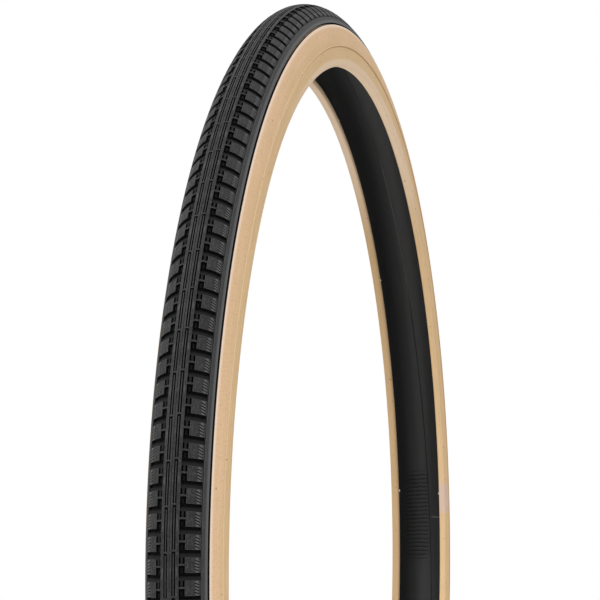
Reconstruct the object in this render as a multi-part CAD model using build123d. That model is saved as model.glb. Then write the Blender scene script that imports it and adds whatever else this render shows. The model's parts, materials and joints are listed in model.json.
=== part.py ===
from build123d import *
import os
from math import acos, asin, cos, degrees, radians, sin

# A wire-bead bicycle tyre, 26 x 1 3/8 (ISO 37-590), off the rim and relaxed. Millimetres.
# The wheel's axle is the Y axis and the origin is the wheel's centre. Every piece is a ring.
# The right half of its section is drawn in the XY plane, where x is the radius and y the
# distance from the wheel's middle plane, then mirrored and spun once round the Y axis.

# ---- overall sizes ----------------------------------------------------------------------
bead_seat_diameter = 590.0  # the rim's bead seat, which the beads grip
section_width = 39.1  # outside width of the relaxed tyre
widest_above_seat = 8.4  # height of the widest place over the bead seat
crown_above_widest = 29.0  # height of the tread's crown over the widest place

# ---- wall layers ------------------------------------------------------------------------
skin = 0.50  # tan sidewall rubber, and the chafer strip round the bead
ply = 0.40  # one rubbered fabric ply
liner = 0.30  # black lining on the inside
breaker_thickness = 0.45
breaker_short = 1.5  # the breaker stops this far inside the tread rubber's edge
crown_rubber = 2.9  # tread rubber over the breaker at the crown, ribs included

# ---- beads ------------------------------------------------------------------------------
wire_diameter = 0.70
wires_round_middle_one = 6
wire_gap = 0.04  # between two wires
wire_clearance = 0.01  # all round a wire in its cover
bead_cover = 0.15  # rubber outside the bundle of wires
seat_width = 3.0  # flat of the bead that sits on the rim
toe_lip_height = 3.7  # how far the chafer comes up inside the tyre
rim_line_over_widest = 1.2  # the chafer comes up outside this far past the widest place
filler_over_widest = 2.4  # the filler's tip over the widest place

# ---- tread ------------------------------------------------------------------------------
tread_edge_over_widest = 17.9  # where the black tread meets the tan sidewall
tread_tuck = 1.0  # how much further up the sidewall rubber reaches under the tread's edge
turn_up_short = 2.5  # the outer ply's turn-up stops this far below the tread's edge
turn_up_step = 3.5  # and the inner ply's turn-up this far below that
groove_depth = 1.9
slit_depth = 1.0
centre_slit = 0.3  # between the two middle ribs
middle_rib = 1.15
middle_slit = 0.5
fine_rib = 0.65
fine_slit = 0.5
wide_rib = 1.7
key_groove = 0.95  # on each side of the key rib
key_rib = 1.05
block_width = 6.3
band_slit = 0.3  # fine line between the blocks and the shoulder band
band_slit_depth = 0.5
block_pitches = 186  # shoulder blocks round the tyre, on each side
pitches_in_sector = 6  # the tread is cut in one sector, and its copies are joined
gap_share = 0.34  # part of a pitch that is the gap between two blocks
gap_depth = 1.0

# ---- what follows from them ---------------------------------------------------------------
seat_radius = bead_seat_diameter / 2
widest_radius = seat_radius + widest_above_seat
half_width = section_width / 2
core_radius = 1.5 * wire_diameter + wire_gap + bead_cover  # the wires and their cover
bead_radius = seat_radius + skin + 2 * ply + core_radius  # of the wires' own circle
bead_offset = half_width - skin - 2 * ply - core_radius  # of the wires from the middle plane
toe_offset = bead_offset - core_radius - 2 * ply - skin
bead_corner = (half_width - toe_offset - seat_width) / 2
tip_radius = widest_radius + filler_over_widest
chafer_top = widest_radius + rim_line_over_widest
tread_edge = widest_radius + tread_edge_over_widest
far_turn_up_end = tread_edge - turn_up_short
turn_up_end = far_turn_up_end - turn_up_step


class Shell:
    """A surface of the wall: half an ellipse over the tyre's widest place.

    Angles are the ellipse's own, from 0 at the crown to 90 degrees at the widest place.
    """

    def __init__(self, half, height):
        self.half, self.height = half, height

    def grown(self, by):
        return Shell(self.half + by, self.height + by)

    def at_radius(self, radius):
        return degrees(acos((radius - widest_radius) / self.height))

    def at_offset(self, offset):
        return degrees(asin(offset / self.half))

    def point(self, angle):
        a = radians(angle)
        return Vector(widest_radius + self.height * cos(a), self.half * sin(a))

    def arc(self, start, end):
        centre = (widest_radius, 0)
        return EllipticalCenterArc(centre, self.height, self.half, start, arc_size=end - start)


outside = Shell(half_width, crown_above_widest)
carcass = Shell(
    half_width - skin - 2 * ply, crown_above_widest - crown_rubber - breaker_thickness
)
breaker_top = carcass.grown(breaker_thickness)
over_far_turn_up = carcass.grown(ply)
over_turn_ups = carcass.grown(2 * ply)
between_plies = carcass.grown(-ply)
over_liner = carcass.grown(-2 * ply)
inside = carcass.grown(-2 * ply - liner)

bead_centre = Vector(bead_radius, bead_offset)


def face(*parts):
    """A closed outline, filled. Straight lines join the ends of its curves and points."""
    ends = [(p, p) if isinstance(p, Vector) else (p @ 0, p @ 1) for p in parts]
    edges = []
    for part, (_, end), (start, _) in zip(parts, ends, ends[1:] + ends[:1]):
        if not isinstance(part, Vector):
            edges.append(part)
        if (start - end).length > 1e-6:
            edges.append(Line(end, start))
    return make_face(edges)


def ring(section):
    return revolve(section, Axis.Y)


def whole(section):
    """A ring from the right half of its section."""
    return ring(section + mirror(section, about=Plane.XZ))


def pair(section):
    """The left ring and the right ring of a section that is on one side only."""
    return {"left": ring(mirror(section, about=Plane.XZ)), "right": ring(section)}


# ---- the path round a bead ------------------------------------------------------------------
# Each surface of the plies comes down inside the filler on a straight line, goes round the
# wires on a circle, and goes back up outside them, straight to the widest place.


def leaves_shell(shell):
    return shell.point(shell.at_radius(tip_radius))


def meets_circle(shell, radius):
    """Where the straight line from a shell touches the circle round the wires."""
    way = leaves_shell(shell) - bead_centre
    turn = degrees(acos(radius / way.length))
    return bead_centre + way.normalized().rotate(Axis.Z, -turn) * radius


def round_wires(shell, radius):
    under = bead_centre - Vector(radius, 0)
    return ThreePointArc(meets_circle(shell, radius), under, bead_centre + Vector(0, radius))


def backwards(curve):
    middle = curve @ 0.5
    return ThreePointArc(curve @ 1, middle, curve @ 0)


bottom_of_core = round_wires(carcass, core_radius)
between_wraps = round_wires(between_plies, core_radius + ply)
under_wraps = round_wires(over_liner, core_radius + 2 * ply)

# ---- plies, liner and breaker ---------------------------------------------------------------
inner_ply = whole(
    face(
        over_liner.arc(0, over_liner.at_radius(tip_radius)),
        under_wraps,
        over_turn_ups.arc(90, over_turn_ups.at_radius(turn_up_end)),
        over_far_turn_up.arc(over_far_turn_up.at_radius(turn_up_end), 90),
        backwards(between_wraps),
        between_plies.arc(between_plies.at_radius(tip_radius), 0),
    )
)

# the pocket that the folded outer ply closes round the wires and the filler
pocket = face(bottom_of_core, carcass.arc(90, carcass.at_radius(tip_radius)))
folded_ply = face(
    between_plies.arc(0, between_plies.at_radius(tip_radius)),
    between_wraps,
    over_far_turn_up.arc(90, over_far_turn_up.at_radius(far_turn_up_end)),
    carcass.arc(carcass.at_radius(far_turn_up_end), 0),
)
outer_ply = whole(folded_ply - pocket)

lip_start, lip_end = leaves_shell(over_liner), under_wraps @ 0
lip_share = (lip_start.X - seat_radius - toe_lip_height) / (lip_start.X - lip_end.X)
lip = lip_start + (lip_end - lip_start) * lip_share
into_tyre = (lip_end - lip_start).normalized().rotate(Axis.Z, 90)

inner_liner = whole(
    face(
        inside.arc(0, inside.at_radius(tip_radius)),
        lip + into_tyre * liner,
        lip,
        over_liner.arc(over_liner.at_radius(tip_radius), 0),
    )
)

tread_inner_edge = carcass.at_radius(tread_edge + tread_tuck)
breaker_edge = carcass.point(tread_inner_edge).Y - breaker_short
breaker = whole(
    face(
        carcass.arc(0, carcass.at_offset(breaker_edge)),
        breaker_top.arc(breaker_top.at_offset(breaker_edge), 0),
    )
)

# ---- beads ------------------------------------------------------------------------------------
wire_pitch = wire_diameter + wire_gap
wire_places = [Pos(bead_centre)] + [
    Pos(bead_centre) * Rot(0, 0, n * 360 / wires_round_middle_one) * Pos(wire_pitch, 0)
    for n in range(wires_round_middle_one)
]
wires_right = [ring(place * Circle(wire_diameter / 2)) for place in wire_places]
wire_holes = [place * Circle(wire_diameter / 2 + wire_clearance) for place in wire_places]
bead_wires = {
    "right": Compound(children=wires_right),
    "left": Compound(children=[mirror(wire, about=Plane.XZ) for wire in wires_right]),
}
bead_covers = pair(Pos(bead_centre) * Circle(core_radius) - wire_holes)

top_of_core = ThreePointArc(
    bottom_of_core @ 0, bead_centre + Vector(core_radius, 0), bottom_of_core @ 1
)
bead_fillers = pair(face(top_of_core, carcass.arc(90, carcass.at_radius(tip_radius))))

heel = Vector(seat_radius + bead_corner, half_width)
seat_outer_edge = Vector(seat_radius, half_width - bead_corner)
seat_inner_edge = Vector(seat_radius, toe_offset + bead_corner)
toe = Vector(seat_radius + bead_corner, toe_offset)


def bead_edge(start, end, across, along):
    """The rounded corner of a bead's foot, about a centre in line with both its ends."""
    centre = Vector(across.X, along.Y)
    out = (start + end) * 0.5 - centre
    return ThreePointArc(start, centre + out.normalized() * bead_corner, end)


chafers = pair(
    face(
        outside.arc(outside.at_radius(chafer_top), 90),
        bead_edge(heel, seat_outer_edge, heel, seat_outer_edge),
        bead_edge(seat_inner_edge, toe, toe, seat_inner_edge),
        Vector(bead_radius, toe_offset),
        lip + into_tyre * skin,
        lip,
        under_wraps,
        over_turn_ups.arc(90, over_turn_ups.at_radius(chafer_top)),
    )
)

# ---- sidewalls ----------------------------------------------------------------------------------
sidewalls = pair(
    face(
        outside.arc(outside.at_radius(tread_edge), outside.at_radius(chafer_top)),
        over_turn_ups.arc(
            over_turn_ups.at_radius(chafer_top), over_turn_ups.at_radius(turn_up_end)
        ),
        over_far_turn_up.arc(
            over_far_turn_up.at_radius(turn_up_end), over_far_turn_up.at_radius(far_turn_up_end)
        ),
        carcass.arc(carcass.at_radius(far_turn_up_end), tread_inner_edge),
    )
)

# ---- tread --------------------------------------------------------------------------------------
above_tread = widest_radius + crown_above_widest + 1


def groove(start, width, depth):
    """The section of a groove whose floor follows the crown, from its near wall outwards."""
    floor = outside.grown(-depth)
    return face(
        floor.arc(floor.at_offset(start), floor.at_offset(start + width)),
        Vector(above_tread, start + width),
        Vector(above_tread, start),
    )


solid_tread = face(
    outside.arc(0, outside.at_radius(tread_edge)),
    carcass.arc(tread_inner_edge, carcass.at_offset(breaker_edge)),
    breaker_top.arc(breaker_top.at_offset(breaker_edge), 0),
)
pattern = [  # width of each rib from the centre outwards, then the groove outside it
    (0, centre_slit / 2, slit_depth),
    (middle_rib, middle_slit, slit_depth),
    (fine_rib, fine_slit, slit_depth),
    (wide_rib, key_groove, groove_depth),
    (key_rib, key_groove, groove_depth),
    (block_width, band_slit, band_slit_depth),
]
reached = 0
for rib, width, depth in pattern:
    solid_tread -= groove(reached + rib, width, depth)
    reached += rib + width

block_start = reached - band_slit - block_width
pitch_angle = 360 / block_pitches
gap = revolve(groove(block_start, block_width, gap_depth), Axis.Y, pitch_angle * gap_share)
sector_angle = pitch_angle * pitches_in_sector
sector = revolve(
    solid_tread + mirror(solid_tread, about=Plane.XZ), Axis.Y, sector_angle
)
for n in range(pitches_in_sector):
    place = Rot(0, (n + (1 - gap_share) / 2) * pitch_angle, 0)
    sector = sector.cut(place * gap, mirror(place * gap, about=Plane.XZ))
sectors = [Rot(0, n * sector_angle, 0) * sector for n in range(block_pitches // pitches_in_sector)]
tread = sectors[0].fuse(*sectors[1:])

# ---- the nodes ------------------------------------------------------------------------------------
nodes = {
    "tread_cap": tread,
    "breaker_strip": breaker,
    "outer_ply": outer_ply,
    "inner_ply": inner_ply,
    "inner_liner": inner_liner,
}
for side in ("left", "right"):
    nodes[f"{side}_sidewall"] = sidewalls[side]
    nodes[f"{side}_chafer"] = chafers[side]
    nodes[f"{side}_bead_filler"] = bead_fillers[side]
    nodes[f"{side}_bead_cover"] = bead_covers[side]
    nodes[f"{side}_bead_wires"] = bead_wires[side]

os.makedirs("parts", exist_ok=True)
for name, solid in nodes.items():
    export_step(solid, f"parts/{name}.step")
    print(name, len(solid.solids()), "solids")
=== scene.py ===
# %% [markdown]
# # A skinwall roadster tyre
#
# The object is a wire-bead bicycle tyre off its rim: a black rubber tread with ribs down the
# middle and small blocks on the shoulders, tan walls, a woven strip round each bead, and a
# smooth black lining. The CAD frame brings the hidden layers (plies, breaker, bead wires) and
# the exact sizes. Here the rubber that can be seen is modelled again with its finer relief.
#
# The wheel's axle is the Y axis and the wheel's centre is the origin, all in metres.

import json
from math import asin, cos, degrees, pi, radians, sin

import bmesh
import bpy
from mathutils import Matrix, Vector

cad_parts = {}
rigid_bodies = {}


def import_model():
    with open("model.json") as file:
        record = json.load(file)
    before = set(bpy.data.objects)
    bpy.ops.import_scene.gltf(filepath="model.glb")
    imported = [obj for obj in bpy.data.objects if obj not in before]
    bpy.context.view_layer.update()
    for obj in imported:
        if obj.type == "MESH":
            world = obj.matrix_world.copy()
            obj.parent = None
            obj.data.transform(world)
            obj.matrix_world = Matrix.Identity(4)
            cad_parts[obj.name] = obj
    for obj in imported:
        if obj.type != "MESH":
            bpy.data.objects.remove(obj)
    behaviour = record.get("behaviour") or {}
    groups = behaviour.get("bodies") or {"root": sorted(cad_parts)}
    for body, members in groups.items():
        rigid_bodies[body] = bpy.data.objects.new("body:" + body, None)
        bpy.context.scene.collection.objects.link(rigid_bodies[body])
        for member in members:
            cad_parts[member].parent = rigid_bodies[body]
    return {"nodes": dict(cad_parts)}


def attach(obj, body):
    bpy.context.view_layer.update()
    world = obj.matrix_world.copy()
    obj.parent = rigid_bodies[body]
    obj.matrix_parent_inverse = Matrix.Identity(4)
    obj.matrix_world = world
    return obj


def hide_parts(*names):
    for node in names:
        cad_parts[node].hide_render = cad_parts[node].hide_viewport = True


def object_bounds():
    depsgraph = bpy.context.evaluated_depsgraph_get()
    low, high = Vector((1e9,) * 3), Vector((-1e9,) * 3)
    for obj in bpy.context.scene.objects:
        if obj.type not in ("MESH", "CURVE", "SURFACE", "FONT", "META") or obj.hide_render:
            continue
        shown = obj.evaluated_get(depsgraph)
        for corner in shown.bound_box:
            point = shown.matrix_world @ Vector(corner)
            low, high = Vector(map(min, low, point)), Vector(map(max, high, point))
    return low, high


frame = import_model()
box_at_start = [list(corner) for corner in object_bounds()]
scene = bpy.context.scene
print("the CAD box is", box_at_start)

# %% [markdown]
# ## The section
#
# A tyre is one section carried round the axle, so a few numbers describe it. From the widest
# place up to the crown the outside is half an ellipse. A place on it is given by its angle on
# the ellipse, 0 at the crown and 90 degrees at the widest place, and by how deep it lies
# under the outside. Every visible piece is drawn from this one function, so they all meet.
# The crown's radius and the half width come from the CAD box; the crown's height over the
# widest place is the one size of the ellipse that a box doesn't give.

# %% The outside of the tyre
mm = 0.001
crown_radius = max(box_at_start[1])
half_width = box_at_start[1][1]
crown_height = 29.0 * mm
widest_radius = crown_radius - crown_height


def outside(angle, depth=0.0):
    """(radius, distance from the middle plane) of a place on or under the outside."""
    a = radians(angle)
    out = Vector((half_width * cos(a), crown_height * sin(a))).normalized()
    radius = widest_radius + crown_height * cos(a) - depth * out.x
    return radius, half_width * sin(a) - depth * out.y


def angle_at(offset):
    """The angle of the place on the outside that is this far from the middle plane."""
    return degrees(asin(offset / half_width))


print("crown radius", round(crown_radius / mm, 1), "mm")

# %% [markdown]
# ## Camera, light and floor
#
# The view comes first, so that every later step can be looked at. The tyre is seen nearly
# edge on through a long lens, from about the height of the axle.


# %% Camera
def turned(first, second, angle):
    """Two crossed directions, turned in their own plane."""
    return (
        first * cos(angle) + second * sin(angle),
        second * cos(angle) - first * sin(angle),
    )


azimuth, elevation, distance = radians(12.9936), radians(3.26804), 1.65331
away = Vector(
    (
        -cos(elevation) * cos(azimuth),
        -cos(elevation) * sin(azimuth),
        sin(elevation),
    )
)
forward = -away
right = forward.cross(Vector((0, 0, 1))).normalized()
up = right.cross(forward)
right, up = turned(right, up, radians(-0.3584))
forward, right = turned(forward, right, -0.0091345)
forward, up = turned(forward, up, 0.0948094)

bpy.ops.object.camera_add()
camera = bpy.context.object
camera.matrix_world = Matrix.Translation(away * distance) @ Matrix(
    (right, up, -forward)
).transposed().to_4x4()
camera.data.lens = 164.65
scene.camera = camera
print("camera at", [round(c, 3) for c in camera.location])

# %% [markdown]
# A pale product setting suits black rubber. The surround is white to the camera but lights the
# tyre mostly from above, so that the sides of the tread's blocks fall into shadow, and large
# lamps give the rubber its long soft highlights.

# %% Light and floor
scene.view_settings.view_transform = "Standard"
world = bpy.data.worlds.new("white surround")
world.use_nodes = True
scene.world = world
nodes, links = world.node_tree.nodes, world.node_tree.links
where = nodes.new("ShaderNodeTexCoord")
height = nodes.new("ShaderNodeSeparateXYZ")
links.new(where.outputs["Generated"], height.inputs[0])
falloff = nodes.new("ShaderNodeMapRange")
falloff.inputs["From Min"].default_value = -0.25
falloff.inputs["From Max"].default_value = 0.7
falloff.inputs["To Min"].default_value = 0.25
falloff.inputs["To Max"].default_value = 1.0
links.new(height.outputs["Z"], falloff.inputs["Value"])
ray = nodes.new("ShaderNodeLightPath")
seen = nodes.new("ShaderNodeMath")
seen.operation = "MAXIMUM"
links.new(falloff.outputs["Result"], seen.inputs[0])
links.new(ray.outputs["Is Camera Ray"], seen.inputs[1])
links.new(seen.outputs[0], nodes["Background"].inputs["Strength"])
nodes["Background"].inputs["Color"].default_value = (1, 1, 1, 1)


def softbox(name, place, size, power):
    bpy.ops.object.light_add(type="AREA", location=place)
    lamp = bpy.context.object
    lamp.name = name
    lamp.data.size = size
    lamp.data.energy = power
    lamp.rotation_euler = (-Vector(place)).to_track_quat("-Z", "Y").to_euler()


softbox("key light", (-1.2, 1.3, 1.6), 1.2, 22)
softbox("fill light", (-1.8, -1.6, 0.6), 1.5, 10)

bpy.ops.mesh.primitive_plane_add(size=2.6, location=(0, 0, -crown_radius))
floor = bpy.context.object
floor.name = "floor"

# %% [markdown]
# ## The tread
#
# The mould presses the same pattern into the rubber over and over: 186 blocks go round each
# shoulder, and a small bridge joins the middle ribs at every second one. So one stretch of
# the strip, two blocks long and half the tread wide, is enough. It is made flat, as a slab of
# rubber, because straight cuts and straight pushes are easy there. The slab is cut along the
# edges of the pattern, the low places are pushed down, and the tops get a small bevel, since
# moulded rubber never has a knife edge. Then it is laid round the crown and copied.
#
# On the slab, X runs along the tread, Y outwards from its middle, and Z = 0 is the rib tops.

# %% A slab of tread
blocks_round = 186
pitch = 2 * pi * crown_radius / blocks_round
slab_start = -4.23 * mm
slab_length = 2 * pitch
tread_half = 16.4 * mm
off_centre = 0.8 * mm
thickness = 2.8 * mm
below_grooves = -2.0  # in millimetres, between the deepest groove and the slab's underside

# how far out each zone of the pattern ends, in millimetres
ribs_end, key_end, zone_edge, sipes_start, sipes_end = 4.65, 7.6, 9.7, 11.4, 13.6
line_start, line_end = 13.9, 14.2


def fresh(name):
    """Names the object just made, and puts its size and place into its mesh."""
    made = bpy.context.object
    made.name = made.data.name = name
    bpy.ops.object.transform_apply(location=True, rotation=True, scale=True)
    return made


def choose(obj):
    """Selects one object, makes it the active one, and deselects all others."""
    bpy.ops.object.select_all(action="DESELECT")
    obj.select_set(True)
    bpy.context.view_layer.objects.active = obj


def edit(obj, kind="FACE"):
    """Opens one object in edit mode with nothing selected."""
    choose(obj)
    bpy.ops.object.mode_set(mode="EDIT")
    bpy.ops.mesh.select_mode(type=kind)
    bpy.ops.mesh.select_all(action="DESELECT")


def pick(obj, wanted, kind="faces"):
    """Selects the faces, edges or vertices that the function wants, and nothing else."""
    bpy.ops.mesh.select_all(action="DESELECT")
    mesh = bmesh.from_edit_mesh(obj.data)
    chosen = [part for part in getattr(mesh, kind) if wanted(part)]
    for part in chosen:
        part.select_set(True)
    bmesh.update_edit_mesh(obj.data)
    return len(chosen)


def centre(face):
    return face.calc_center_median()


def on_top(face, low=(None, None), high=(None, None)):
    """Whether a face of the slab's top lies between two corners, in millimetres."""
    x, y, z = centre(face) / mm
    if face.normal.z < 0.5 or z < below_grooves:
        return False
    inside_x = low[0] is None or low[0] < x < high[0]
    return inside_x and (low[1] is None or low[1] < y < high[1])


def cut(place, direction):
    bpy.ops.mesh.bisect(plane_co=place, plane_no=direction)


bpy.ops.mesh.primitive_cube_add(
    size=1,
    location=(slab_start + slab_length / 2, tread_half / 2, -thickness / 2),
    scale=(slab_length, tread_half, thickness),
)
slab = fresh("slab")
edit(slab)
for y in (ribs_end, zone_edge, sipes_end):
    bpy.ops.mesh.select_all(action="SELECT")
    cut((0, y * mm, 0), (0, 1, 0))
bpy.ops.mesh.select_all(action="SELECT")
cut((slab_start + pitch, 0, 0), (1, 0, 0))
print("slab", [round(s / mm, 2) for s in slab.dimensions], "mm")

# %% [markdown]
# ## Cutting the pattern's edges
#
# From the middle outwards the half tread has: half a rib, a fine rib and a wide rib with
# slits between them, a narrow key rib in a deep groove, the blocks, a fine line, and the
# smooth shoulder band. Only the faces that an edge crosses are cut, which keeps the faces few.
# A small function repeats each cut for both blocks of the slab.

# %% Cut lines on the slab's top
block_length = 7.4
centre_line, slit_1, slit_2 = (0, 0.15), (1.1, 1.85), (2.3, 3.1)
bridge, bridge_gap = (-0.9, -0.1), (-2.0, -0.9)
key_rib, key_bar = (5.6, 6.65), (3.5, 4.3)
key_low_end = 2.3
gap_start, slot_start = -3.8, -1.6


def cut_zone(low, high, lines, direction, repeat=2):
    """Cuts the top faces between two corners along lines, in millimetres, for each block."""
    for copy in range(repeat):
        shift = copy * pitch / mm
        first = (low[0] + shift if low[0] is not None else None, low[1])
        last = (high[0] + shift if high[0] is not None else None, high[1])
        for line in lines:
            pick(slab, lambda face: on_top(face, first, last))
            moved = line + shift * direction[0]
            cut([moved * mm * d for d in direction], direction)


along, across = (1, 0, 0), (0, 1, 0)
cut_zone((None, 0), (None, ribs_end), (centre_line[1], *slit_1, *slit_2), across, 1)
cut_zone((None, ribs_end), (None, zone_edge), (*key_rib, key_end), across, 1)
cut_zone((None, key_end), (None, sipes_end), (9.5, sipes_start), across, 1)
cut_zone((None, sipes_end), (None, 17), (line_start, line_end, 15.3), across, 1)
cut_zone((None, slit_1[0]), (None, slit_2[1]), (*bridge_gap, bridge[1]), along, 1)
cut_zone((-4.3, ribs_end), (7.1, line_start), (gap_start, slot_start, 0), along)
cut_zone((0, ribs_end), (7.1, key_end), (key_low_end, *key_bar), along)
print(len(slab.data.polygons), "faces before, and now", end=" ")
print(len(bmesh.from_edit_mesh(slab.data).faces))

# %% [markdown]
# Each block's outer part has four sipes, thin slanting cuts that let it flex. Each is two
# slanted cuts half a millimetre apart.

# %% Sipes
sipe_width, sipe_slope = 0.55, 0.5
sipe_places = (1.3, 2.8, 4.3, 5.8)
sipe_middle = 12.5
slanted = Vector((1, sipe_slope, 0)).normalized()


def along_sipe(point):
    """Where a point lies along X once the slant of the sipes is taken off, in millimetres."""
    return point.x / mm + sipe_slope * (point.y / mm - sipe_middle)


def in_sipe_zone(face, copy):
    shift = copy * pitch / mm
    return on_top(face, (shift, sipes_start), (shift + block_length, sipes_end))


for copy in range(2):
    for place in sipe_places:
        for side in (-0.5, 0.5):
            x = place + side * sipe_width + copy * pitch / mm
            pick(slab, lambda face: in_sipe_zone(face, copy))
            cut(Vector((x, sipe_middle, 0)) * mm, slanted)

# %% [markdown]
# ## Pushing the low places down
#
# The depth of each face follows from where its middle lies. Where a shallow place meets a
# deep one, both go down together first and the deep one then goes on alone, so the wall
# between them is a single clean step.


# %% Depths
line_depth, low_depth, slit_depth, groove_depth = 0.5, 0.9, 1.0, 1.9


def between(value, *ranges):
    return any(low < value < high for low, high in ranges)


def rib_depth(x, y):
    """The middle ribs, with slits between them that one bridge crosses."""
    if between(x, bridge) and y > slit_1[0]:
        return 0
    if between(x, bridge_gap) and between(y, (slit_1[0], slit_2[1])):
        return slit_depth
    return slit_depth if between(y, centre_line, slit_1, slit_2) else 0


def key_depth(x, y):
    """The narrow key rib, low at both ends of its bar, in its two grooves."""
    if between(x, key_bar):
        return 0
    in_groove = between(y, (ribs_end, key_rib[0]), (key_rib[1], key_end))
    if in_groove or between(x, (key_low_end, key_bar[0])):
        return groove_depth
    return low_depth if x < key_low_end else line_depth


def depth_of(face):
    """How deep a face of the slab's top is pressed, in millimetres."""
    x, y, _ = centre(face) / mm
    block_x = (x - gap_start) % (pitch / mm) + gap_start
    if y < ribs_end:
        return rib_depth(x, y)
    if between(y, (line_start, line_end)):
        return line_depth
    if between(block_x, (gap_start, slot_start)) and y < line_start:
        return low_depth
    if between(block_x, (slot_start, 0)) and y < line_start:
        return groove_depth
    if y < key_end and block_x > 0:
        return key_depth(block_x, y)
    if between(y, (sipes_start, sipes_end)) and between(block_x, (0, block_length)):
        slot = along_sipe(centre(face)) - (x - block_x)
        if any(abs(slot - place) < sipe_width / 2 for place in sipe_places):
            return low_depth
    return 0


def tenths(depth):
    return round(depth * 10)


def press(depths, amount):
    """Pushes the top faces whose depth is one of these down by an amount in millimetres."""
    marks = [tenths(depth) for depth in depths]
    count = pick(slab, lambda face: on_top(face) and face[depth_layer] in marks)
    bpy.ops.mesh.extrude_region_move(
        TRANSFORM_OT_translate={"value": (0, 0, -amount * mm)}
    )
    return count


mesh = bmesh.from_edit_mesh(slab.data)
depth_layer = mesh.faces.layers.int.new("depth")
for face in mesh.faces:
    if on_top(face):
        face[depth_layer] = tenths(depth_of(face))
bmesh.update_edit_mesh(slab.data)
print(
    "faces pressed:",
    press((line_depth, low_depth, groove_depth), line_depth),
    press((low_depth, groove_depth), low_depth - line_depth),
    press((groove_depth,), groove_depth - low_depth),
    press((slit_depth,), slit_depth),
)

# %% [markdown]
# The shallow place between two blocks is a ramp: it rises towards the block below it. And the
# slab's two ends go, because the next copy carries on there.

# %% Ramps, ends and bevels
ramp_rise = 0.3 * mm
top_bevel, rim_bevel = 0.13 * mm, 0.45 * mm


def at_ramp_top(vert):
    x, y, z = vert.co / mm
    past_gap_start = (x - gap_start + 1) % (pitch / mm) - 1
    low = abs(z + low_depth) < 0.05
    return low and abs(past_gap_start) < 0.05 and ribs_end - 0.05 < y < line_start - 0.1


ramp = pick(slab, at_ramp_top, "verts")
bpy.ops.transform.translate(value=(0, 0, ramp_rise))
ends = (slab_start, slab_start + slab_length)


def at_an_end(face):
    return any(all(abs(vert.co.x - end) < 1e-6 for vert in face.verts) for end in ends)


removed = pick(slab, at_an_end)
bpy.ops.mesh.delete(type="FACE")


def sharp_top_edge(edge):
    high = all(v.co.z > -0.3 * mm and v.co.y < tread_half - 0.4 * mm for v in edge.verts)
    if not high or len(edge.link_faces) != 2 or edge.calc_length() < 0.2 * mm:
        return False
    return edge.is_convex and edge.calc_face_angle() > radians(60)


def outer_top_edge(edge):
    return all(
        abs(v.co.z) < 1e-6 and v.co.y > tread_half - 0.2 * mm for v in edge.verts
    )


bevelled = pick(slab, sharp_top_edge, "edges")
bpy.ops.mesh.bevel(offset=top_bevel, segments=1, affect="EDGES", clamp_overlap=True)
rounded = pick(slab, outer_top_edge, "edges")
bpy.ops.mesh.bevel(offset=rim_bevel, segments=2, affect="EDGES", clamp_overlap=True)
print(ramp, "ramp corners,", removed, "end faces removed,", end=" ")
print(bevelled, "edges bevelled and", rounded, "rounded")
bpy.ops.object.mode_set(mode="OBJECT")

# %% [markdown]
# ## Round the crown
#
# Laying the slab on the tyre is one rule for every corner: its X becomes the way round the
# wheel, its Y the distance from the middle, and its height stands out at right angles from
# the elliptical crown. The rubber thins towards its edge, so the depths shrink there too.
# The two halves are mirror images, but the mould's halves were set a little out of step, as
# they are on many such tyres, so the left half starts a tenth of a block earlier. The strip
# also lies a little off the casing's middle, to the left.

# %% Lay, copy and join
edge_thinning = 0.39
weld_distance = 0.012 * mm
first_block = radians(0.344)
left_lead = 0.1 * pitch / crown_radius


def lay_round_crown(obj, side, first_angle):
    """Lays a flat piece on the crown; side is 1 for the left half and -1 for the right."""
    for vert in obj.data.vertices:
        x, y, z = vert.co
        thinner = 1 - edge_thinning * (y / tread_half) ** 2
        radius, offset = outside(angle_at(side * y + off_centre), -z * thinner)
        a = first_angle + x / crown_radius
        vert.co = (-radius * cos(a), offset, radius * sin(a))


def copies_round_axle(obj, count):
    edit(obj)
    bpy.ops.mesh.select_all(action="SELECT")
    bpy.ops.mesh.spin(
        steps=count - 1,
        angle=2 * pi * (count - 1) / count,
        dupli=True,
        center=(0, 0, 0),
        axis=(0, 1, 0),
    )
    tidy_seams()


def tidy_seams():
    """Welds the seams of the piece in edit mode, turns its faces outwards and closes it."""
    bpy.ops.mesh.select_all(action="SELECT")
    bpy.ops.mesh.remove_doubles(threshold=weld_distance)
    bpy.ops.mesh.normals_make_consistent(inside=False)
    bpy.ops.object.mode_set(mode="OBJECT")


def duplicate(obj, name):
    choose(obj)
    bpy.ops.object.duplicate()
    copy = bpy.context.object
    copy.name = copy.data.name = name
    return copy


def smooth(obj, angle=30):
    choose(obj)
    bpy.ops.object.shade_smooth_by_angle(angle=radians(angle))


def open_edges(obj):
    mesh = bmesh.new()
    mesh.from_mesh(obj.data)
    count = sum(not edge.is_manifold for edge in mesh.edges)
    mesh.free()
    return count


tread_halves = []
for name, side, start in (
    ("tread_left", 1, first_block - left_lead),
    ("tread_right", -1, first_block),
):
    half = duplicate(slab, name)
    lay_round_crown(half, side, start)
    copies_round_axle(half, blocks_round // 2)
    smooth(half)
    tread_halves.append(half)
    print(name, len(half.data.polygons), "faces,", open_edges(half), "open edges")
bpy.data.objects.remove(slab)

# %% [markdown]
# ## Rings turned on the axle
#
# The other rubber parts have no pattern: each is one section turned round the axle. A circle
# with as many corners as the section has points is laid out to the section's shape, and the
# spin carries it round. The steps match the tread's blocks, so the facets line up.


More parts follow.
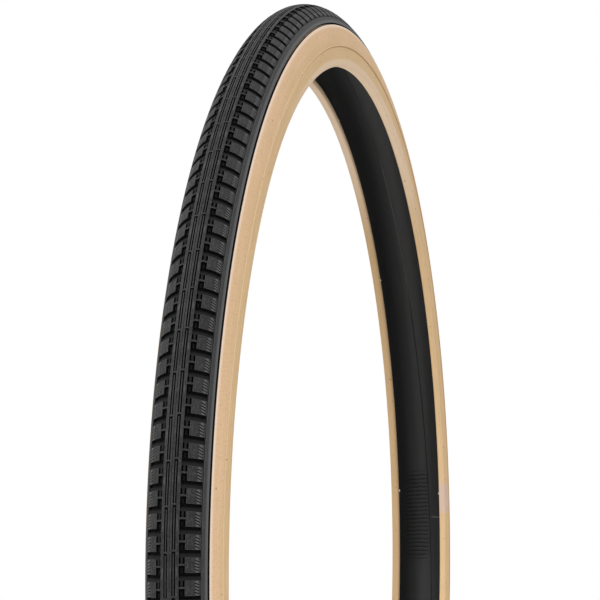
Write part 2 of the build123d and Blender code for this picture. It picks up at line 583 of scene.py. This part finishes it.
# %% Turn a section
def ring_of(name, section, steps=2 * blocks_round):
    """A closed ring from a section given as (radius, distance from the middle plane)."""
    bpy.ops.mesh.primitive_circle_add(vertices=len(section), radius=10 * mm)
    ring = fresh(name)
    edit(ring, "VERT")
    mesh = bmesh.from_edit_mesh(ring.data)
    for vert, (radius, offset) in zip(mesh.verts, section):
        vert.co = (radius, offset, 0)
    bmesh.update_edit_mesh(ring.data)
    bpy.ops.mesh.select_all(action="SELECT")
    bpy.ops.mesh.spin(steps=steps, angle=2 * pi, center=(0, 0, 0), axis=(0, 1, 0))
    tidy_seams()
    smooth(ring, 40)
    print(name, len(ring.data.polygons), "faces,", open_edges(ring), "open edges")
    return ring


def spread(first, last, count):
    return [first + (last - first) * n / (count - 1) for n in range(count)]


def mirrored(section):
    return [(radius, -offset) for radius, offset in section]


def in_mm(points):
    return [(radius * mm, offset * mm) for radius, offset in points]


# %% [markdown]
# ## Sidewalls
#
# A skinwall's side is only a thin tan skin of rubber over the plies. Its upper edge is
# rounded and stops just short of the black tread, which leaves the fine dark line between
# them, and its back goes on a little way under the tread.

# %% Sidewalls
skin = 0.5 * mm
wall_end = 83.0
tread_gap = 0.5 * mm


def wall_section(start):
    """The tan skin from just beside the tread's edge down to the rim line."""
    return (
        [outside(start - 0.15, d * mm) for d in (1.3, 0.7, 0.25)]
        + [outside(start + 0.25, 0.03 * mm)]
        + [outside(a, -0.04 * mm) for a in spread(start + 0.8, wall_end, 14)]
        + [outside(a, skin) for a in spread(wall_end, start + 6, 9)]
        + [outside(start + 2, 1.2 * mm)]
    )


left_start = angle_at(tread_half + tread_gap + off_centre)
right_start = angle_at(tread_half + tread_gap - off_centre)
sidewalls = [
    ring_of("sidewall_left", wall_section(left_start)),
    ring_of("sidewall_right", mirrored(wall_section(right_start))),
]

# %% [markdown]
# ## Chafer strips
#
# A woven strip protects each bead where it sits on the rim. Outside it ends in the rim line,
# a low ridge a little above the widest place that shows whether the tyre sits evenly. From
# there it runs down to the heel, across the seat, round the toe and up inside as a small lip,
# and its back returns along the same way. The points are (radius, distance from the middle).

# %% Chafer strips
chafer_section = (
    [outside(81.8, 0.15 * mm), outside(82.0, -0.1 * mm), outside(82.3, -0.34 * mm)]
    + [outside(82.7, -0.42 * mm), outside(83.1, -0.3 * mm), outside(83.4, 0.12 * mm)]
    + [outside(84.0, 0.16 * mm), outside(84.5, -0.02 * mm), outside(87, -0.06 * mm)]
    + [outside(90, -0.06 * mm)]
    + in_mm(
        [
            (300.0, 19.62),
            (297.2, 19.60),
            (296.2, 19.48),
            (295.5, 19.15),
            (295.1, 18.7),
            (295.0, 18.3),
            (295.0, 15.7),
            (295.1, 15.2),
            (295.5, 14.75),
            (296.1, 14.5),
            (297.4, 14.42),
            (298.3, 14.55),
            (298.75, 14.75),
            (298.9, 15.0),
            (298.8, 15.25),
            (297.6, 14.98),
            (296.2, 15.1),
            (295.6, 16.2),
            (295.6, 17.6),
            (296.3, 18.75),
            (298.0, 19.05),
            (303.4, 19.05),
        ]
    )
    + [outside(86, 0.6 * mm), outside(82.6, 0.5 * mm)]
)
chafers = [
    ring_of("chafer_left", chafer_section),
    ring_of("chafer_right", mirrored(chafer_section)),
]

# %% [markdown]
# ## Lining
#
# The lining is a thin black film on the inside, from one toe lip to the other. It follows the
# plies: straight up beside the bead, then round under the crown.

# %% Lining
liner_half, liner_height = 17.15 * mm, 24.55 * mm


def inside(angle, depth=0.0):
    """A place on the lining, or this far behind it."""
    a = radians(angle)
    height, half = liner_height + depth, liner_half + depth
    return widest_radius + height * cos(a), half * sin(a)


lining_half = [(298.72 * mm, 15.12 * mm), (302.2 * mm, 16.02 * mm)]
lining_half += [inside(a) for a in spread(84.4, 3.0, 20)]
back = [inside(a, 0.25 * mm) for a in spread(3.0, 84.4, 20)]
back += [(302.1 * mm, 16.28 * mm), (298.65 * mm, 15.38 * mm)]
lining_section = (
    lining_half
    + mirrored(lining_half[::-1])
    + mirrored(back[::-1])
    + back
)
lining = ring_of("lining", lining_section)

# %% [markdown]
# ## Nibs
#
# Rubber creeps into the mould's air vents and leaves small pips where it is trimmed: a few on
# the tread's edge and the rim line, and pale ones on the lips, where the beads were clamped.

# %% Nibs
# degrees round the wheel from the front, then radius, offset and size in millimetres
nib_places = [
    (38.4, 320.2, -16.1, 0.35),
    (12.6, 307.2, -19.7, 0.4),
    (64.0, 307.2, -19.7, 0.35),
    (111.7, 297.6, 14.4, 0.5),
    (143.1, 297.8, 14.4, 0.5),
    (173.7, 297.6, 14.3, 0.75),
    (174.1, 297.6, -14.3, 0.75),
    (120.6, 297.8, -14.4, 0.5),
    (131.9, 297.8, -14.4, 0.5),
    (157.5, 297.8, -14.4, 0.5),
    (230.0, 307.2, -19.7, 0.35),
    (250.0, 307.2, 19.7, 0.35),
    (300.0, 307.2, 19.7, 0.35),
]
for count, (turn, radius, offset, size) in enumerate(nib_places):
    a = radians(turn)
    bpy.ops.mesh.primitive_uv_sphere_add(
        segments=12,
        ring_count=8,
        radius=size * mm,
        location=(-radius * cos(a) * mm, offset * mm, radius * sin(a) * mm),
    )
    fresh(f"nib {count}")
for obj in bpy.data.objects:
    obj.select_set(obj.name.startswith("nib "))
bpy.ops.object.join()
nibs = fresh("nibs")
smooth(nibs)
print(len(nibs.data.polygons), "faces of nibs")

# %% [markdown]
# ## Writing materials as sums
#
# A material's noise, masks and mixes are mostly arithmetic, so a small class lets them be
# written that way. It wraps one output of one node, and each operator adds a Math node.


# %% A number on the surface
class Value:
    def __init__(self, tree, socket):
        self.tree, self.socket = tree, socket

    def math(self, kind, *others, first=None):
        values = [self, *others] if first is None else [first, self]
        inputs = dict(enumerate(values))
        return node(self.tree, "ShaderNodeMath", {"operation": kind}, inputs)

    def size(self):
        return self.math("ABSOLUTE")

    def wave(self):
        return self.math("SINE")

    def __add__(self, other):
        return self.math("ADD", other)

    def __sub__(self, other):
        return self.math("SUBTRACT", other)

    def __mul__(self, other):
        return self.math("MULTIPLY", other)

    def __truediv__(self, other):
        return self.math("DIVIDE", other)

    def __rsub__(self, other):
        return self.math("SUBTRACT", first=other)

    __radd__, __rmul__ = __add__, __mul__

    def step(self, low, high):
        """0 below the first value, 1 above the second, and smooth between them."""
        return node(
            self.tree,
            "ShaderNodeMapRange",
            {"interpolation_type": "SMOOTHSTEP"},
            {"Value": self, "From Min": low, "From Max": high},
        )


def feed(tree, slot, value):
    """Links a Value to a node's input, or sets the input to a constant."""
    if isinstance(value, Value):
        tree.links.new(value.socket, slot)
    elif isinstance(value, tuple) and len(value) == 3 and slot.type == "RGBA":
        slot.default_value = (*value, 1)
    else:
        slot.default_value = value


def node(tree, kind, settings, inputs, output=0):
    """Any node: its settings go first, because they can change which inputs it has."""
    made = tree.nodes.new(kind)
    for name, value in settings.items():
        setattr(made, name, value)
    for name, value in inputs.items():
        feed(tree, made.inputs[name], value)
    return Value(tree, made.outputs[output])


class Surface:
    """A new material, with the place on the tyre ready to use in millimetres and degrees.

    The degrees run round the wheel from -90 to 270, and start and end at the bottom.
    """

    def __init__(self, name):
        self.material = bpy.data.materials.new(name)
        self.material.use_nodes = True
        self.tree = self.material.node_tree
        self.shader = self.tree.nodes["Principled BSDF"]
        self.place = self.make("TexCoord", {}, {}, "Object")
        x, y, z = (self.make("SeparateXYZ", {}, {0: self.place}, n) for n in range(3))
        self.offset = y * (1 / mm)
        self.radius = (x * x + z * z).math("SQRT") * (1 / mm)
        turn = z.math("ARCTAN2", x * -1) * (180 / pi)
        self.turn = (turn + 450).math("MODULO", 360) - 90

    def make(self, kind, settings, inputs, output=0):
        return node(self.tree, "ShaderNode" + kind, settings, inputs, output)

    def noise(self, scale, detail):
        """Soft noise from 0 to 1; the scale is in spots per metre."""
        inputs = {"Vector": self.place, "Scale": scale, "Detail": detail}
        return self.make("TexNoise", {}, inputs)

    def round_noise(self, across, around, detail=2.0):
        """Noise laid on the section and round the wheel, in spots per mm and per degree."""
        place = self.make(
            "CombineXYZ",
            {},
            {0: self.radius * across, 1: self.offset * across, 2: self.turn * around},
        )
        return self.make("TexNoise", {}, {"Vector": place, "Scale": 1.0, "Detail": detail})

    def mix(self, share, first, second):
        """The first colour where the share is 0, the second where it is 1."""
        return self.make(
            "Mix", {"data_type": "RGBA"}, {0: share, 6: first, 7: second}, 2
        )

    def near(self, turn, radius, offset, size):
        """1 at a place on the tyre, falling to 0 this many millimetres away."""
        a = radians(turn)
        there = (-radius * cos(a) * mm, offset * mm, radius * sin(a) * mm)
        far = self.make(
            "VectorMath", {"operation": "DISTANCE"}, {0: self.place, 1: there}, "Value"
        )
        return 1 - (far * (1 / mm)).step(size * 0.6, size)

    def finish(self, colour, roughness, bump=None, height=0.1, **constants):
        """Feeds the shader; the bump's height is in millimetres."""
        feed(self.tree, self.shader.inputs["Base Color"], colour)
        feed(self.tree, self.shader.inputs["Roughness"], roughness)
        for name, value in constants.items():
            self.shader.inputs[name.replace("_", " ")].default_value = value
        if bump is not None:
            relief = self.make("Bump", {}, {"Height": bump, "Distance": height * mm})
            self.tree.links.new(relief.socket, self.shader.inputs["Normal"])
        print("material", self.material.name, len(self.tree.nodes), "nodes")
        return self.material


# %% [markdown]
# ## The rubbers
#
# Tread rubber is nearly black. How far a place lies under the crown's ellipse tells tops,
# edges and grooves apart: the tops are scuffed and satin, the moulded edges get a painted
# highlight, and the low places are dull and get painted shade, darkest in the deep grooves. A
# painted highlight runs along the shoulder band's rounded outer edge. The smooth shoulder band
# is a little paler than the blocks.

# %% Tread rubber
s = Surface("tread rubber")
grain = s.noise(2600, 3)
blotches = s.noise(60, 3)
up = (s.radius - widest_radius / mm) / (crown_height / mm)
out = s.offset / (half_width / mm)
depth = (1 - (up * up + out * out).math("SQRT")) * (crown_height / mm)
from_middle = (s.offset - off_centre / mm).size()
band = from_middle.step(14.0, 14.4)
scuffs = s.noise(850, 3)
black = s.mix(blotches.step(0.35, 0.75), (0.022, 0.022, 0.0225), (0.035, 0.035, 0.0355))
black = s.mix(scuffs.step(0.48, 0.68) * 0.6, black, (0.062, 0.062, 0.06))
black = s.mix(band * 0.55, black, (0.055, 0.057, 0.058))
# painted highlight on the bevelled edges, where they catch the light
edges = depth.step(0.04, 0.08) * (1 - depth.step(0.13, 0.22))
black = s.mix(edges * 0.75, black, (0.13, 0.13, 0.13))
# painted highlight along the rounded outer edge of the shoulder band
rim_highlight = from_middle.step(15.1, 15.8)
black = s.mix(rim_highlight * 0.6, black, (0.15, 0.15, 0.155))
# painted shade: the low places are darker, and the deep grooves turn nearly black
black = s.mix(depth.step(0.15, 0.3), black, (0.014, 0.014, 0.0143))
black = s.mix(depth.step(0.68, 0.95), black, (0.0006, 0.0006, 0.0006))
tread_rubber = s.finish(
    black,
    0.45 + 0.2 * grain + 0.1 * blotches + 0.3 * depth.step(0.2, 0.6),
    grain + 1.6 * scuffs,
    0.14,
    Specular_IOR_Level=0.2,
)

# %% [markdown]
# The tan skin is so thin that the cords of the ply show through it as faint slanting threads.
# It is pinkish near the tread and more golden lower down, and it carries small dark specks.
# A painted highlight runs along its rounded top edge, and a thin near-black line of painted
# shade marks the gap beside the tread.

# %% Tan rubber
s = Surface("tan rubber")
cords = (s.turn * 14 + s.radius * 1.1 + s.round_noise(0.15, 0.6) * 5).wave()
threads = s.round_noise(0.12, 5.0, 3)
clouds = s.round_noise(0.1, 0.12, 3)
towards_rim = 1 - s.radius.step(306, 318)
tan = s.mix(towards_rim, (0.77, 0.52, 0.30), (0.72, 0.49, 0.26))
tan = s.mix(clouds.step(0.4, 0.7) * 0.55, tan, (0.84, 0.55, 0.35))
tan = s.mix((0.5 + 0.5 * cords) * threads.step(0.4, 0.7) * 0.3, tan, (0.56, 0.35, 0.16))
rings = s.round_noise(1.6, 0.02, 3)
tan = s.mix(rings.step(0.5, 0.7) * 0.25, tan, (0.88, 0.66, 0.44))
tan = s.mix(s.noise(700, 3).step(0.5, 0.7) * 0.35, tan, (0.60, 0.38, 0.20))
tan = s.mix(s.noise(420, 1).step(0.735, 0.77) * 0.5, tan, (0.30, 0.17, 0.08))
# painted highlight along the rounded top edge of the skin
tan = s.mix(s.radius.step(317.4, 319.2) * 0.7, tan, (0.95, 0.77, 0.64))
blemish = s.near(9.7, 316.4, -17.5, 0.6)
tan = s.mix(blemish * 0.8, tan, (0.20, 0.10, 0.04))
# painted shade: a near-black line on the skin's top edge for the gap beside the tread
edge = (tread_half + tread_gap) / mm
gap_shade = 1 - (s.offset - off_centre / mm).size().step(edge - 0.06, edge + 0.06)
tan = s.mix(gap_shade, tan, (0.004, 0.004, 0.004))
tan_rubber = s.finish(
    tan,
    0.62 + 0.1 * threads,
    cords * 0.25 + threads + 0.5 * s.noise(1500, 2),
    0.06,
    Specular_IOR_Level=0.35,
)

# %% [markdown]
# The chafer is woven, so it has fine crossed threads. It is a more golden brown. Painted shade
# darkens the step beside the rim line, the toe and the whole left strip, painted highlights
# lighten the rim line's ridge and the lip near the top of the wheel, and one overlap near the
# foot of the far side is patched with a paler, pinker piece.

# %% Chafer weave
s = Surface("chafer weave")
warp = (s.turn * 38).wave()
weft = ((s.radius + s.offset.size()) * 5.5).wave()
weave = warp * weft
clouds = s.round_noise(0.2, 0.25, 3)
gold = s.mix(clouds, (0.68, 0.46, 0.24), (0.80, 0.57, 0.33))
rings = s.round_noise(1.3, 0.02, 3)
gold = s.mix(rings.step(0.45, 0.65) * 0.4, gold, (0.60, 0.38, 0.17))
# painted shade in the step beside the rim line
step_shade = (s.radius - 306.8).size().step(0.15, 0.5)
gold = s.mix((1 - step_shade) * 0.6, gold, (0.40, 0.23, 0.09))
# painted highlight on the rim line's ridge
ridge = (s.radius - 307.5).size().step(0.2, 0.5)
gold = s.mix((1 - ridge) * 0.6, gold, (0.90, 0.70, 0.46))
# painted shade: the left strip is darker all over
gold = s.mix(s.offset.step(0, 1) * 0.55, gold, (0.40, 0.26, 0.13))
# painted highlight on the lip near the top of the wheel
near_top = 1 - (s.turn - 95).size().step(25, 45)
lip = (1 - s.radius.step(298.5, 300.5)) * near_top
gold = s.mix(lip * 0.6, gold, (0.86, 0.68, 0.52))
# painted shade along the toe
toe = 1 - s.offset.size().step(14.7, 15.2)
gold = s.mix(toe * 0.5, gold, (0.55, 0.37, 0.22))
gold = s.mix(weave.step(0.2, 0.9) * 0.16, gold, (0.34, 0.2, 0.09))
gold = s.mix(s.noise(500, 1).step(0.73, 0.77) * 0.6, gold, (0.22, 0.11, 0.04))
patch = s.near(174.7, 297.0, -17.0, 13)
gold = s.mix(patch * 0.75, gold, (0.68, 0.50, 0.42))
chafer_weave = s.finish(
    gold,
    0.74 + 0.1 * clouds,
    weave * 0.5 + clouds * 2,
    0.06,
    Specular_IOR_Level=0.3,
)

# %% [markdown]
# The nibs are pale where they were nipped off the lips, brown on the rim line, and black where
# they belong to the tread.

# %% Nib rubber
s = Surface("nib rubber")
grain = s.noise(2000, 2)
pale = s.mix(s.radius.step(300, 304), (0.86, 0.78, 0.68), (0.42, 0.26, 0.11))
pale = s.mix(s.radius.step(312, 316), pale, (0.01, 0.01, 0.01))
nib_rubber = s.finish(
    s.mix(grain * 0.3, pale, (0.35, 0.27, 0.18)), 0.55 + 0.2 * grain, grain, 0.03
)

# %% [markdown]
# The lining is smooth and a little shiny. Two things break it: the seam where the strip of
# lining was closed, which wanders across as it goes round, and a run of fine creases where
# the tyre was folded, with one pale scratch beside them. A painted highlight runs down its
# middle, and painted shade darkens the creases and both edges.

# %% Lining
s = Surface("lining")
wander = 9.1 * ((s.turn - 160) * (pi / 180)).wave()
seam_line = 1 - (s.offset - 1.5 + wander).size().step(0.12, 0.4)
creased = 1 - (s.turn - 177.5).size().step(4.5, 6.8)
creased = creased * (1 - (s.offset - 7).size().step(5.5, 9.5))
creases = (s.turn * 12.57 + s.round_noise(0.25, 0.3) * 3).wave() * creased
creases = creases * (0.35 + s.round_noise(0.5, 0.5))
grain = s.noise(1800, 2)
smears = s.round_noise(0.25, 0.08, 3)
dark = s.mix(smears, (0.038, 0.038, 0.0385), (0.060, 0.060, 0.061))
dark = s.mix(grain.step(0.4, 0.7) * 0.25, dark, (0.075, 0.075, 0.075))
# painted highlight: a soft lighter band down the middle of the lining
painted_sheen = 1 - (s.offset - 1).size().step(1, 9)
painted_sheen = painted_sheen * (0.35 + 0.5 * s.turn.step(178, 186))
dark = s.mix(painted_sheen * 0.6, dark, (0.12, 0.12, 0.12))
# painted shade in the creases, which are real folds
dark = s.mix(creases.step(0.0, 0.9) * 0.75, dark, (0.005, 0.005, 0.005))
# painted shade: darker towards both edges of the lining
dark = s.mix(s.offset.size().step(7, 15.5) * 0.8, dark, (0.009, 0.009, 0.009))
seam_colour = s.mix(s.turn.step(146, 152), (0.16, 0.16, 0.16), (0.004, 0.004, 0.004))
dark = s.mix(seam_line * 0.8 * s.turn.step(126, 131), dark, seam_colour)
scratch = 1 - (s.turn - 177.75).size().step(0.03, 0.09)
scratch = s.near(177.75, 326.0, -6.5, 5.2) * scratch
dark = s.mix(scratch * 0.7, dark, (0.30, 0.30, 0.30))
lining_rubber = s.finish(
    dark,
    0.44 + 0.12 * smears + 0.08 * grain,
    grain * 0.5 - creases * 2 - seam_line * 1.5 + smears * 2,
    0.12,
    Specular_IOR_Level=0.4,
)

# %% [markdown]
# ## What the layers hide
#
# The casing's layers don't show on a whole tyre, but someone may take it apart or cut it
# open, so they get their own looks: rubbered cord for the plies, an open weave for the
# breaker, hard black rubber round the bead wires, and brass-washed wire.


# %% Hidden layers
def cord_fabric(name, slant, light, dark):
    s = Surface(name)
    cords = (s.turn * 9 + s.offset * slant).wave()
    fuzz = s.noise(900, 3)
    colour = s.mix((0.5 + 0.5 * cords) * 0.7 + 0.3 * fuzz, dark, light)
    return s.finish(colour, 0.7 + 0.15 * fuzz, cords + fuzz, 0.12, Specular_IOR_Level=0.3)


outer_fabric = cord_fabric("outer ply", 1.6, (0.50, 0.37, 0.22), (0.30, 0.20, 0.11))
inner_fabric = cord_fabric("inner ply", -1.6, (0.46, 0.34, 0.21), (0.27, 0.18, 0.10))
breaker_fabric = cord_fabric("breaker", 5.0, (0.33, 0.31, 0.27), (0.12, 0.11, 0.10))

s = Surface("bead rubber")
grain = s.noise(1500, 3)
bead_rubber = s.finish(
    s.mix(grain, (0.018, 0.018, 0.02), (0.035, 0.035, 0.037)),
    0.5 + 0.2 * grain,
    grain,
    0.04,
)

s = Surface("bead wire")
drawn = s.round_noise(9.0, 0.4, 3)
bead_wire = s.finish(
    s.mix(drawn, (0.55, 0.43, 0.25), (0.72, 0.60, 0.38)),
    0.25 + 0.25 * drawn,
    drawn,
    0.02,
    Metallic=1.0,
)

s = Surface("floor")
floor_paint = s.finish(
    s.mix(s.noise(3, 2), (0.80, 0.80, 0.80), (0.84, 0.84, 0.84)),
    0.7 + 0.1 * s.noise(40, 2),
)

# %% [markdown]
# ## Putting it together
#
# Each new piece takes its finish and rides on the tyre's one body, and the CAD node that it
# replaces is hidden. The hidden layers keep their CAD shapes.


# %% Finishes and nodes
def dress(piece, material):
    piece.data.materials.clear()
    piece.data.materials.append(material)


for pieces, material, slot_name, nodes_replaced in (
    (tread_halves, tread_rubber, "tread_rubber", ["tread_cap"] * 2),
    (sidewalls, tan_rubber, "sidewall_rubber", ["left_sidewall", "right_sidewall"]),
    (chafers, chafer_weave, "chafer_strip", ["left_chafer", "right_chafer"]),
    ([lining], lining_rubber, "liner_rubber", ["inner_liner"]),
):
    for piece, node_name in zip(pieces, nodes_replaced):
        dress(piece, material)
        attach(piece, "root")
        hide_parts(node_name)

dress(nibs, nib_rubber)
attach(nibs, "root")

cad = frame["nodes"]
dress(cad["outer_ply"], outer_fabric)
dress(cad["inner_ply"], inner_fabric)
dress(cad["breaker_strip"], breaker_fabric)
for side in ("left", "right"):
    dress(cad[f"{side}_bead_filler"], bead_rubber)
    dress(cad[f"{side}_bead_cover"], bead_rubber)
    dress(cad[f"{side}_bead_wires"], bead_wire)
dress(floor, floor_paint)
